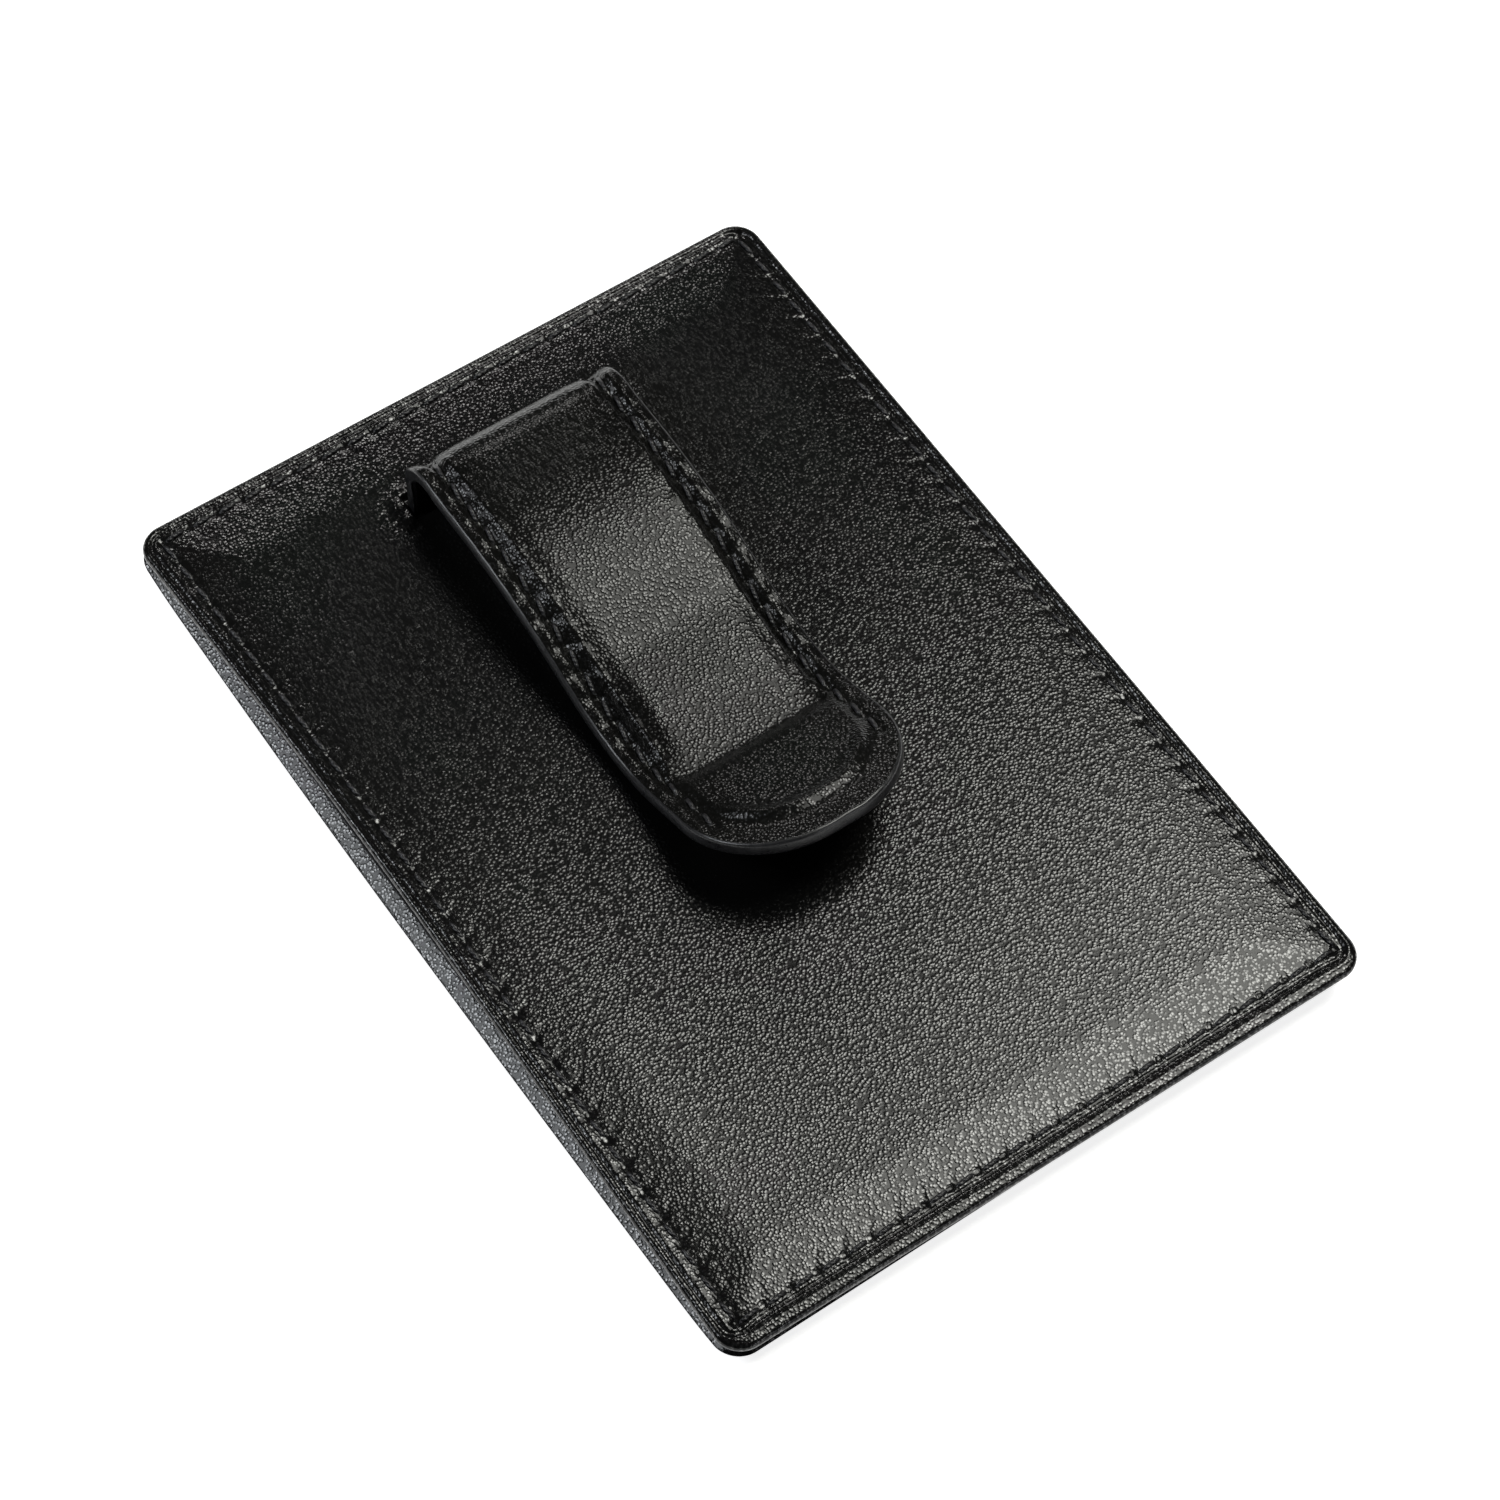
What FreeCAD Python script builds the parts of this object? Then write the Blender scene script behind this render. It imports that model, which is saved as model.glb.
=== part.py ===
"""Leather card case with a leather-covered spring money clip on its back.

Frame: +X from the open mouth of the centre pocket to the closed long edge, +Y towards the bend of
the clip, +Z out of the clip side. The origin is the centre of the face that the case rests on.
All lengths are millimetres. The case is a stack of thin sheets, written here from the bottom up.
"""
import FreeCAD
import Part
import math
import os

V = FreeCAD.Vector

# ---- driving dimensions of the case ----
CASE_W = 72.0            # short side, along X
CASE_L = 102.4           # long side, along Y
CORNER_R = 2.8           # outer corners in plan
INNER_CORNER_R = 0.8     # smallest corner of a sheet drawn in from the edge
TURN_IN = 7.0            # width of the folded-in leather round each panel
LINING_INSET = 1.4       # linings stop this far short of the panel edge
LEAF_INSET = 0.4         # pocket leather stops this far short of the panel edge

# ---- sheet thicknesses, in the order of the stack ----
LEAF_T = 0.40            # skived calf of a card pocket
CLOTH_T = 0.08           # woven pocket cloth
FRONT_LEATHER_T = 0.50
FRONT_BOARD_T = 0.25
FRONT_FOLD_T = 0.20
LINING_T = 0.20
POCKET_GAP = 0.30        # centre pocket, empty
BACK_FOLD_T = 0.25
BACK_BOARD_T = 0.40
BACK_LEATHER_T = 0.65

# ---- card pockets on the front ----
FIRST_MOUTH = 10.0       # mouth of the rear pocket, from the open long edge
MOUTH_STEP = 9.0         # from one mouth to the next
STRIP_W = 12.0           # width of the leather strip at each upper pocket mouth
SLOT_DEPTH = 46.0        # mouth to the closed end of the slot
CLOTH_L = 90.0           # length of the pocket cloths, which hold an 85.6 mm card
CLOTH_LAP = 5.0          # mouth to the near edge of the cloth behind it
SLOT_ROW_IN = 1.5        # row of stitches to the closed end of the slot

# ---- stitching ----
PITCH = 3.0
STITCH_L = 2.3
THREAD_W = 0.40
THREAD_SINK = 0.15       # depth of the groove that a stitch pulls into the leather
GROOVE_CLEAR = 0.30      # height over which a groove on the clip is open above its stitch
INSET_OPEN = 2.3         # rows of stitches from each edge of the case
INSET_CLOSED = 2.0
INSET_BEND_END = 1.9
INSET_FAR_END = 2.7

# ---- clip ----
CLIP_W = 23.0            # leather cover
STEEL_W = 16.4
STEEL_T = 0.60
COVER_T = 0.80           # leather on each face of the steel
BEND_Y = 36.2            # centre of the bend
BEND_R = 3.3             # steel centre line round the bend
RISER_H = 3.6            # straight rise from the case to the bend
LEG_END_Y = 14.0         # free end of the leg inside the case
LEG_BEND_R = 0.6
LEVEL_END_Y = 31.0       # the arm is level from the bend to here
DROP_R = 55.0            # convex arc down towards the pinch
DROP_END_Y = 15.0
SLOPE_END_Y = 11.0
PINCH_R = 24.0           # concave arc into the pinch
LIP_R = 15.6             # concave arc out of the pinch
LIP_START_Y = -2.0
TIP_Y = -16.5
STEEL_TIP_Y = -12.8
TOE_R = 10.0             # rounded corners of the toe in plan
STEEL_TOE_R = 7.2
CLIP_ROW_X = 9.4         # rows of stitches beside the steel
CLIP_ROW_END_Y = -10.5   # where they stop on the lip
TOE_ROW_Y = -14.6        # row of stitches across the toe
TOE_ROW_HALF = 6.0
SPLIT_GAP = 0.12         # slit between the fixed and the moving half of the bend
SLIT_CLEAR = 0.10        # play round the clip in the slit of the back leather
BULGE_MARGIN = 1.3       # raised leather round the leg
BULGE_CORNER_R = 2.0
RIVET_R = 1.1
RIVET_HEAD_R = 2.3
RIVET_HEAD_T = 0.20
RIVET_YS = (20.0, 31.0)

# ---- levels of the stack ----
Z_LEAF = 0.0
Z_LEAF_CLOTH = Z_LEAF + LEAF_T
Z_MIDDLE_STRIP = Z_LEAF_CLOTH + CLOTH_T
Z_MIDDLE_CLOTH = Z_MIDDLE_STRIP + LEAF_T
Z_REAR_STRIP = Z_MIDDLE_CLOTH + CLOTH_T
Z_REAR_CLOTH = Z_REAR_STRIP + LEAF_T
Z_FRONT = Z_REAR_CLOTH + CLOTH_T
Z_FRONT_BOARD = Z_FRONT + FRONT_LEATHER_T
Z_FRONT_FOLD = Z_FRONT_BOARD + FRONT_BOARD_T
Z_FRONT_LINING = Z_FRONT_FOLD + FRONT_FOLD_T
Z_BACK_LINING = Z_FRONT_LINING + LINING_T + POCKET_GAP
Z_BACK_FOLD = Z_BACK_LINING + LINING_T
Z_BACK_BOARD = Z_BACK_FOLD + BACK_FOLD_T
Z_BACK = Z_BACK_BOARD + BACK_BOARD_T
Z_TOP = Z_BACK + BACK_LEATHER_T

# ---- places worked out from the dimensions ----
X_OPEN = -CASE_W / 2
X_CLOSED = CASE_W / 2
Y_END = CASE_L / 2
MOUTH_ROW_X = X_OPEN + INSET_OPEN
SEAM_X = X_CLOSED - INSET_CLOSED
SEAM_Y0 = -Y_END + INSET_FAR_END
SEAM_Y1 = Y_END - INSET_BEND_END
REAR_MOUTH_X = X_OPEN + FIRST_MOUTH
MIDDLE_MOUTH_X = REAR_MOUTH_X + MOUTH_STEP
LEAF_MOUTH_X = MIDDLE_MOUTH_X + MOUTH_STEP
PAD_HALF = STEEL_T / 2 + COVER_T
RISER_Y = BEND_Y + BEND_R
SLIT_Y0 = RISER_Y - PAD_HALF - SLIT_CLEAR
SLIT_Y1 = RISER_Y + PAD_HALF + SLIT_CLEAR
SPLIT_Z = Z_TOP + RISER_H
BIG = 200.0              # larger than the whole object
NEARLY_UPRIGHT = 0.99    # an edge whose direction has at least this much Z is upright


def save(node, shape):
    shape.exportStep("parts/" + node + ".step")


def group(shapes):
    return Part.makeCompound(shapes)


# ---- sheets ----
def round_upright(solid, radius, chosen=lambda edge: True):
    upright = [e for e in solid.Edges if abs(e.tangentAt(e.FirstParameter).z) > NEARLY_UPRIGHT]
    return solid.makeFillet(radius, [e for e in upright if chosen(e)])


def sheet(x0, x1, y0, y1, z0, thickness):
    return Part.makeBox(x1 - x0, y1 - y0, thickness, V(x0, y0, z0))


def panel_sheet(z0, thickness, inset):
    """A sheet of the case's outline, drawn in from the edge."""
    plain = sheet(X_OPEN + inset, X_CLOSED - inset, -Y_END + inset, Y_END - inset, z0, thickness)
    return round_upright(plain, max(CORNER_R - inset, INNER_CORNER_R))


def turned_panel(z0, z1, z_core, core_t, wall, z_fold, fold_t):
    """Leather from z0 to z1 that wraps the edge of a core and folds in over its far face."""
    body = panel_sheet(z0, z1 - z0, 0.0)
    core = panel_sheet(z_core, core_t, wall)
    window = panel_sheet(z_fold, fold_t, TURN_IN)
    return body.cut(core).cut(window)


# ---- front of the case: three card pockets on a lined panel ----
def pocket_strip(x_mouth, z0):
    return sheet(x_mouth, x_mouth + STRIP_W, -Y_END + LEAF_INSET, Y_END - LEAF_INSET, z0, LEAF_T)


def pocket_cloth(x_mouth, z0):
    return sheet(x_mouth + CLOTH_LAP, x_mouth + SLOT_DEPTH, -CLOTH_L / 2, CLOTH_L / 2, z0, CLOTH_T)


def front_pocket_leaf():
    leaf = sheet(LEAF_MOUTH_X, X_CLOSED - LEAF_INSET, -Y_END + LEAF_INSET, Y_END - LEAF_INSET,
                 Z_LEAF, LEAF_T)
    return round_upright(leaf, CORNER_R - LEAF_INSET, lambda e: e.CenterOfMass.x > 0)


def front_leaf_cloth():
    return sheet(LEAF_MOUTH_X + CLOTH_LAP, SEAM_X - SLOT_ROW_IN, -CLOTH_L / 2, CLOTH_L / 2,
                 Z_LEAF_CLOTH, CLOTH_T)


def front_leather():
    return turned_panel(Z_FRONT, Z_FRONT_LINING, Z_FRONT_BOARD, FRONT_BOARD_T, FRONT_LEATHER_T,
                        Z_FRONT_FOLD, FRONT_FOLD_T)


# ---- back of the case: the panel that carries the clip ----
def rivet_shanks(z0, z1):
    return [Part.makeCylinder(RIVET_R, z1 - z0, V(0, y, z0)) for y in RIVET_YS]


def back_leather():
    panel = turned_panel(Z_BACK_FOLD, Z_TOP, Z_BACK_BOARD, BACK_BOARD_T, BACK_LEATHER_T,
                         Z_BACK_FOLD, BACK_FOLD_T)
    half = STEEL_W / 2
    bulge = sheet(-half - BULGE_MARGIN, half + BULGE_MARGIN, LEG_END_Y - BULGE_MARGIN, SLIT_Y0,
                  Z_TOP, STEEL_T)
    bulge = round_upright(bulge, BULGE_CORNER_R, lambda e: e.CenterOfMass.y < RIVET_YS[0])
    leg_room = sheet(-half, half, LEG_END_Y, SLIT_Y0, Z_BACK, STEEL_T)
    half_slit = CLIP_W / 2 + SLIT_CLEAR
    slit = sheet(-half_slit, half_slit, SLIT_Y0, SLIT_Y1, Z_BACK, BIG)
    return panel.fuse(bulge).removeSplitter().cut(leg_room).cut(slit)


def back_board():
    board = panel_sheet(Z_BACK_BOARD, BACK_BOARD_T, BACK_LEATHER_T)
    return board.cut(group(rivet_shanks(Z_BACK_BOARD, Z_BACK)))


def clip_rivets():
    z_head = Z_BACK_BOARD - RIVET_HEAD_T
    heads = [Part.makeCylinder(RIVET_HEAD_R, RIVET_HEAD_T, V(0, y, z_head)) for y in RIVET_YS]
    shanks = rivet_shanks(Z_BACK_BOARD, Z_BACK + STEEL_T)
    return group([shank.fuse(head) for shank, head in zip(shanks, heads)])


# ---- rows of stitches on the flat panels: bars sunk flush into the leather ----
def stitch_bar(x, y, z_face, sink, angle):
    """sink is negative where the leather lies below its face."""
    bar = Part.makeBox(STITCH_L, THREAD_W, abs(sink), V(-STITCH_L / 2, -THREAD_W / 2, min(sink, 0.0)))
    bar.rotate(V(0, 0, 0), V(0, 0, 1), angle)
    bar.translate(V(x, y, z_face))
    return bar


def stitch_row(x0, y0, x1, y1, z_face, sink):
    count = int(math.hypot(x1 - x0, y1 - y0) / PITCH)
    angle = math.degrees(math.atan2(y1 - y0, x1 - x0))
    bars = []
    for i in range(count):
        t = (i + 0.5) / count
        bars.append(stitch_bar(x0 + (x1 - x0) * t, y0 + (y1 - y0) * t, z_face, sink, angle))
    return bars


def back_seam_rows():
    """The short edges and the closed long edge, seen on the back."""
    rows = stitch_row(MOUTH_ROW_X, SEAM_Y0, SEAM_X, SEAM_Y0, Z_TOP, -THREAD_SINK)
    rows += stitch_row(SEAM_X, SEAM_Y0, SEAM_X, SEAM_Y1, Z_TOP, -THREAD_SINK)
    rows += stitch_row(SEAM_X, SEAM_Y1, MOUTH_ROW_X, SEAM_Y1, Z_TOP, -THREAD_SINK)
    return rows


def front_seam_rows():
    """The same seam on the front, on the leaf of the front pocket."""
    x0 = LEAF_MOUTH_X
    rows = stitch_row(x0, SEAM_Y0, SEAM_X, SEAM_Y0, Z_LEAF, THREAD_SINK)
    rows += stitch_row(SEAM_X, SEAM_Y0, SEAM_X, SEAM_Y1, Z_LEAF, THREAD_SINK)
    rows += stitch_row(SEAM_X, SEAM_Y1, x0, SEAM_Y1, Z_LEAF, THREAD_SINK)
    return rows


def mouth_row(z_face, sink):
    """The open long edge: one row on each panel, which leaves the pocket open."""
    return stitch_row(MOUTH_ROW_X, SEAM_Y0, MOUTH_ROW_X, SEAM_Y1, z_face, sink)


def slot_rows():
    """The closed ends of the two upper slots, under the cloths."""
    reach = CLOTH_L / 2 - SLOT_ROW_IN
    rows = []
    for x_mouth, z_cloth in ((MIDDLE_MOUTH_X, Z_MIDDLE_CLOTH), (REAR_MOUTH_X, Z_REAR_CLOTH)):
        x = x_mouth + SLOT_DEPTH - SLOT_ROW_IN
        rows += stitch_row(x, -reach, x, reach, z_cloth, -THREAD_SINK)
    return rows


# ---- the clip's side view: tangent lines and arcs in the YZ plane ----
class Track:
    """A centre line from (y, z) with a heading in degrees. Offsets are to its left."""

    def __init__(self, y, z, heading):
        self.stations = [(y, z, heading)]
        self.radii = []          # signed: positive turns left, None is straight

    def line(self, length):
        y, z, heading = self.stations[-1]
        a = math.radians(heading)
        self.radii.append(None)
        self.stations.append((y + length * math.cos(a), z + length * math.sin(a), heading))

    def arc(self, radius, turn):
        y, z, heading = self.stations[-1]
        signed = math.copysign(radius, turn)
        a = math.radians(heading)
        b = math.radians(heading + turn)
        self.radii.append(signed)
        self.stations.append((y + signed * (math.sin(b) - math.sin(a)),
                              z - signed * (math.cos(b) - math.cos(a)), heading + turn))

    def place(self, step, t, offset):
        """The point at fraction t of a step, moved to the left, and the heading there."""
        y0, z0, h0 = self.stations[step]
        y1, z1, h1 = self.stations[step + 1]
        heading = h0 + (h1 - h0) * t
        a = math.radians(heading)
        signed = self.radii[step]
        if signed is None:
            y, z = y0 + (y1 - y0) * t, z0 + (z1 - z0) * t
        else:
            a0 = math.radians(h0)
            y = y0 + signed * (math.sin(a) - math.sin(a0))
            z = z0 - signed * (math.cos(a) - math.cos(a0))
        return V(0, y - offset * math.sin(a), z + offset * math.cos(a)), heading

    def edges(self, offset):
        result = []
        for step, signed in enumerate(self.radii):
            start = self.place(step, 0.0, offset)[0]
            end = self.place(step, 1.0, offset)[0]
            if signed is None:
                result.append(Part.LineSegment(start, end).toShape())
            else:
                result.append(Part.Arc(start, self.place(step, 0.5, offset)[0], end).toShape())
        return result

    def strip(self, low, high, half_width):
        """The solid between two offsets, centred on the YZ plane."""
        last = len(self.radii) - 1
        caps = []
        for step, t in ((0, 0.0), (last, 1.0)):
            low_end = self.place(step, t, low)[0]
            high_end = self.place(step, t, high)[0]
            caps.append(Part.LineSegment(low_end, high_end).toShape())
        loop = self.edges(low) + self.edges(high) + caps
        face = Part.Face(Part.Wire(Part.__sortEdges__(loop)))
        face.translate(V(-half_width, 0, 0))
        return face.extrude(V(2 * half_width, 0, 0))


def arm_track(end_y):
    """Up and over the bend, down to the pinch and up the lip. Its left is the underside."""
    drop = math.degrees(math.asin((LEVEL_END_Y - DROP_END_Y) / DROP_R))
    slope = math.radians(drop)
    pinch_y = SLOPE_END_Y - PINCH_R * math.sin(slope)
    rise = math.degrees(math.asin((pinch_y - LIP_START_Y) / LIP_R))
    track = Track(RISER_Y, SPLIT_Z, 90.0)
    track.arc(BEND_R, 90.0)
    track.line(BEND_Y - LEVEL_END_Y)
    track.arc(DROP_R, drop)
    track.line((DROP_END_Y - SLOPE_END_Y) / math.cos(slope))
    track.arc(PINCH_R, -drop)
    track.arc(LIP_R, -rise)
    track.line((LIP_START_Y - end_y) / math.cos(math.radians(rise)))
    return track


def toe_prism(half_width, tip_y, radius):
    """Upright prism with a rounded end at tip_y."""
    block = sheet(-half_width, half_width, tip_y, RISER_Y + BIG, 0.0, BIG)
    return round_upright(block, radius, lambda e: e.CenterOfMass.y < 0)


def split_slot():
    """Clears the gap between the two halves of the bend."""
    return sheet(-BIG, BIG, BEND_Y, BEND_Y + BIG, SPLIT_Z - BIG, BIG + SPLIT_GAP)


def steel_strip(track):
    return track.strip(-STEEL_T / 2, STEEL_T / 2, STEEL_W / 2)


def clip_spring_arm():
    strip = steel_strip(arm_track(STEEL_TIP_Y))
    return strip.common(toe_prism(STEEL_W / 2, STEEL_TIP_Y, STEEL_TOE_R)).cut(split_slot())


def clip_spring_leg():
    track = Track(LEG_END_Y, Z_BACK + STEEL_T / 2, 0.0)
    track.line(RISER_Y - LEG_BEND_R - LEG_END_Y)
    track.arc(LEG_BEND_R, 90.0)
    track.line(SPLIT_Z - Z_BACK - STEEL_T / 2 - LEG_BEND_R)
    return steel_strip(track).cut(group(rivet_shanks(Z_BACK, Z_BACK + STEEL_T)))


def cover_layer(track, side, half_width):
    """The flat of one cover leather, against the other cover. side is 1 for the underside."""
    return track.strip(min(0.0, side * COVER_T), max(0.0, side * COVER_T), half_width)


def cover_pad(track, side, half_width):
    """The part of one cover leather that the steel pushes out."""
    inner = side * STEEL_T / 2
    outer = side * PAD_HALF
    return track.strip(min(inner, outer), max(inner, outer), half_width)


def clip_cover_arm(side):
    track = arm_track(TIP_Y)
    steel = toe_prism(STEEL_W / 2, STEEL_TIP_Y, STEEL_TOE_R)
    pad = cover_pad(track, side, STEEL_W / 2).common(steel)
    flat = cover_layer(track, side, CLIP_W / 2).common(toe_prism(CLIP_W / 2, TIP_Y, TOE_R))
    return flat.fuse(pad).cut(steel_strip(track).common(steel)).cut(split_slot())


def clip_cover_base(side):
    """From the case to the split. The outer leather reaches down to the board."""
    foot = Z_BACK if side < 0 else Z_BACK + STEEL_T
    track = Track(RISER_Y, foot, 90.0)
    track.line(SPLIT_Z - foot)
    cover = cover_layer(track, side, CLIP_W / 2).fuse(cover_pad(track, side, STEEL_W / 2))
    return cover.cut(clip_spring_leg())


def track_bar(track, step, t, x, side, along, open_h):
    """A bar sunk into one face of the arm's margin, along the arm or across it, and open_h proud."""
    place, heading = track.place(step, t, side * COVER_T)
    length, width = (STITCH_L, THREAD_W) if along else (THREAD_W, STITCH_L)
    z_low = -THREAD_SINK if side < 0 else -open_h
    bar = Part.makeBox(width, length, THREAD_SINK + open_h, V(-width / 2, -length / 2, z_low))
    bar.rotate(V(0, 0, 0), V(1, 0, 0), heading - 180.0)
    bar.translate(V(x, place.y, place.z))
    return bar


def arm_face_bars(side, open_h=0.0):
    track = arm_track(TIP_Y)
    last = len(track.radii) - 1
    lip_end = (LIP_START_Y - CLIP_ROW_END_Y) / (LIP_START_Y - TIP_Y)
    toe_row = (LIP_START_Y - TOE_ROW_Y) / (LIP_START_Y - TIP_Y)
    bars = []
    for step in range(1, last + 1):
        start = track.place(step, 0.0, 0.0)[0]
        end = track.place(step, 1.0, 0.0)[0]
        reach = lip_end if step == last else 1.0
        count = max(1, round(start.distanceToPoint(end) * reach / PITCH))
        for i in range(count):
            t = (i + 0.5) / count * reach
            for x in (-CLIP_ROW_X, CLIP_ROW_X):
                bars.append(track_bar(track, step, t, x, side, True, open_h))
    count = int(2 * TOE_ROW_HALF / PITCH)
    for i in range(count):
        x = -TOE_ROW_HALF + (i + 0.5) * PITCH
        bars.append(track_bar(track, last, toe_row, x, side, False, open_h))
    return bars


def main():
    os.makedirs("parts", exist_ok=True)
    back_seam = group(back_seam_rows())
    back_mouth = group(mouth_row(Z_TOP, -THREAD_SINK))
    front_seam = group(front_seam_rows())
    front_mouth = group(mouth_row(Z_FRONT, THREAD_SINK))
    top_grooves = group(arm_face_bars(-1, GROOVE_CLEAR))
    under_grooves = group(arm_face_bars(1, GROOVE_CLEAR))

    save("front_pocket_leaf", front_pocket_leaf().cut(front_seam))
    save("front_pocket_cloth", front_leaf_cloth())
    save("middle_pocket_strip", pocket_strip(MIDDLE_MOUTH_X, Z_MIDDLE_STRIP))
    save("middle_pocket_cloth", pocket_cloth(MIDDLE_MOUTH_X, Z_MIDDLE_CLOTH))
    save("rear_pocket_strip", pocket_strip(REAR_MOUTH_X, Z_REAR_STRIP))
    save("rear_pocket_cloth", pocket_cloth(REAR_MOUTH_X, Z_REAR_CLOTH))
    save("slot_stitches", group(slot_rows()))
    save("front_leather", front_leather().cut(front_mouth))
    save("front_board", panel_sheet(Z_FRONT_BOARD, FRONT_BOARD_T, FRONT_LEATHER_T))
    save("front_lining", panel_sheet(Z_FRONT_LINING, LINING_T, LINING_INSET))
    save("back_lining", panel_sheet(Z_BACK_LINING, LINING_T, LINING_INSET))
    save("back_board", back_board())
    save("back_leather", back_leather().cut(back_seam).cut(back_mouth))
    save("back_seam_stitches", back_seam)
    save("front_seam_stitches", front_seam)
    save("back_mouth_stitches", back_mouth)
    save("front_mouth_stitches", front_mouth)
    save("clip_rivets", clip_rivets())
    save("clip_spring_leg", clip_spring_leg())
    save("clip_spring_arm", clip_spring_arm())
    save("clip_top_leather_base", clip_cover_base(-1))
    save("clip_top_leather_arm", clip_cover_arm(-1).cut(top_grooves))
    save("clip_under_leather_base", clip_cover_base(1))
    save("clip_under_leather_arm", clip_cover_arm(1).cut(under_grooves))
    save("clip_top_stitches", group(arm_face_bars(-1)))
    save("clip_under_stitches", group(arm_face_bars(1)))


main()
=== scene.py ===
"""Looks of a leather card case with a leather-covered money clip on its back.

Lengths are millimetres until a mesh is made, in the CAD frame: +X to the closed long edge, +Y to the
clip's bend, +Z out of the clip side. The flat CAD stack is settled into its sewn, slightly gaping shape.
"""

import bpy
import math
import numpy as np
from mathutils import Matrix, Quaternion, Vector

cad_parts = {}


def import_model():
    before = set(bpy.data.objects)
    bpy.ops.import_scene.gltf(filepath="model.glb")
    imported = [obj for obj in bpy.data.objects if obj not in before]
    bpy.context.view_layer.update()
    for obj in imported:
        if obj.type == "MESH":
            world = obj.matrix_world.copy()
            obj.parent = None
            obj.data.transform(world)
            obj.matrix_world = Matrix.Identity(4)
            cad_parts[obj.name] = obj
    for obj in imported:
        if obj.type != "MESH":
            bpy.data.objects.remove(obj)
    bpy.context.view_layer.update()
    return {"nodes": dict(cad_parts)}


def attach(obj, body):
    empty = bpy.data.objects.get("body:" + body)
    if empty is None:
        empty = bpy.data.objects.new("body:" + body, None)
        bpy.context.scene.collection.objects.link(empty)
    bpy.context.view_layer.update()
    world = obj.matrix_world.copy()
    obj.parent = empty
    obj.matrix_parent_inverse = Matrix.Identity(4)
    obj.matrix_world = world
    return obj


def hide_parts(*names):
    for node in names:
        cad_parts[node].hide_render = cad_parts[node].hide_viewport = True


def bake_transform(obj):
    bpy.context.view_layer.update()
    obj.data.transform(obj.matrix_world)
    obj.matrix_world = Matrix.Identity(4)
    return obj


MM = 0.001

# ---- case, as in the CAD model ----
HALF_W = 36.0
HALF_L = 51.2
CORNER_R = 2.8
SQUARE_R = 0.3
LEAF_INSET = 0.4
LINING_INSET = 1.4
TURN_IN = 7.0
Z_MIDDLE_STRIP = 0.48
Z_REAR_STRIP = 0.96
Z_FRONT = 1.44
Z_FRONT_LINING = 2.39
Z_POCKET = 2.74                 # middle of the centre pocket
Z_BACK_LINING = 2.89
Z_BACK_FOLD = 3.09
Z_BACK_BOARD = 3.34
Z_BACK = 3.74
Z_TOP = 4.39
LEAF_T = 0.40
CLOTH_T = 0.08
LINING_T = 0.20
BACK_WALL = 0.65
CLEAR = 0.01                    # thin sheets stand this far inside their CAD thickness
MOUTHS = {"rear": -26.0, "middle": -17.0, "front": -8.0}
POCKET_LEVELS = {"rear": Z_REAR_STRIP, "middle": Z_MIDDLE_STRIP, "front": 0.0}
STRIP_W = 12.0
SLOT_DEPTH = 46.0
CLOTH_LAP = 5.0
CLOTH_HALF_L = 45.0
LEAF_CLOTH_END = 32.5

# ---- stitching ----
PITCH = 3.0
STITCH_L = 2.3
THREAD_W = 0.42
ROW_OPEN = -33.7                # x of the row at the open long edge
ROW_CLOSED = 34.0
ROW_FAR = -48.5                 # y of the row at the far short edge
ROW_BEND = 49.3
THREAD_SINK = 0.13              # the threads' base is this far below the face of the back
HOLE_DEPTH = 0.17               # relief of the leather round a row
TROUGH_DEPTH = 0.10
DIP_DEPTH = 0.04
WRINKLE_DEPTH = 0.045
PUFF_HEIGHT = 0.05
ROWS_DEEPEST = -0.42

# ---- clip, as in the CAD model ----
CLIP_HALF_W = 11.5
TOE_R = 10.2
STEEL_HALF_W = 8.2
STEEL_HALF_T = 0.30
STEEL_TOE_R = 7.6
RISER_Y = 39.5
SPLIT_Z = 7.99
RISER_START_Z = 3.75
BEND_R = 3.3
BEND_Y = 36.2
LEVEL_END_Y = 31.0
DROP_R = 55.0
DROP_END_Y = 15.0
SLOPE_END_Y = 11.0
PINCH_R = 24.0
LIP_R = 15.6
LIP_START_Y = -2.0
TIP_Y = -16.5
STEEL_TIP_Y = -12.8

# ---- leather of the clip ----
CLIP_ROW_X = 9.4
CLIP_ROW_LEAD = 2.4             # the rows start this far past the start of the bend
CLIP_ROW_PAST_FOLD = 8.4
CLIP_HOLE_DEPTH = 0.30
CLIP_TROUGH_DEPTH = 0.22
CLIP_OUTER_PUFF = 0.21
CLIP_INNER_PUFF = 0.12
CLIP_PULL_DEPTH = 0.04
STEEL_COVER = 0.35              # the steel shows this much wider through the leather
TIP_RIDGE = 0.40
FLUTE_HEIGHT = 0.035
CURL_LEFT = 0.55                # how far the cover's edges stand up round the bend
CURL_RIGHT = 0.25
MARGIN_T = 0.74                 # leather on each side of the middle of the clip, beside the steel
PAD_T = 1.18                    # the same over the steel
CLIP_EDGE_R = 0.28
PAINT_WRAP = 0.14               # the edge paint covers the cut edges of both leathers
BRIDGE_Z = 8.08                 # the pad's leather runs straight down to this height at the fold
BRIDGE_SLOPE = 0.10
BRIDGED_Y = 6.0                 # it is clear of the steel from here to the fold
BRIDGE_BLEND = 0.07             # roundness where it leaves the steel
FOLD_REACH = 2.6                # past the fold the leather is down on the steel again after this
UNDER_RELIEF = 0.8              # the stitches show this much underneath, against the top

# ---- the leg of the spring, under the back leather ----
LEG_HALF_W = 9.4
LEG_END_Y = 12.0
LEG_CORNER_R = 4.0
LEG_RISE = 0.50

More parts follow.
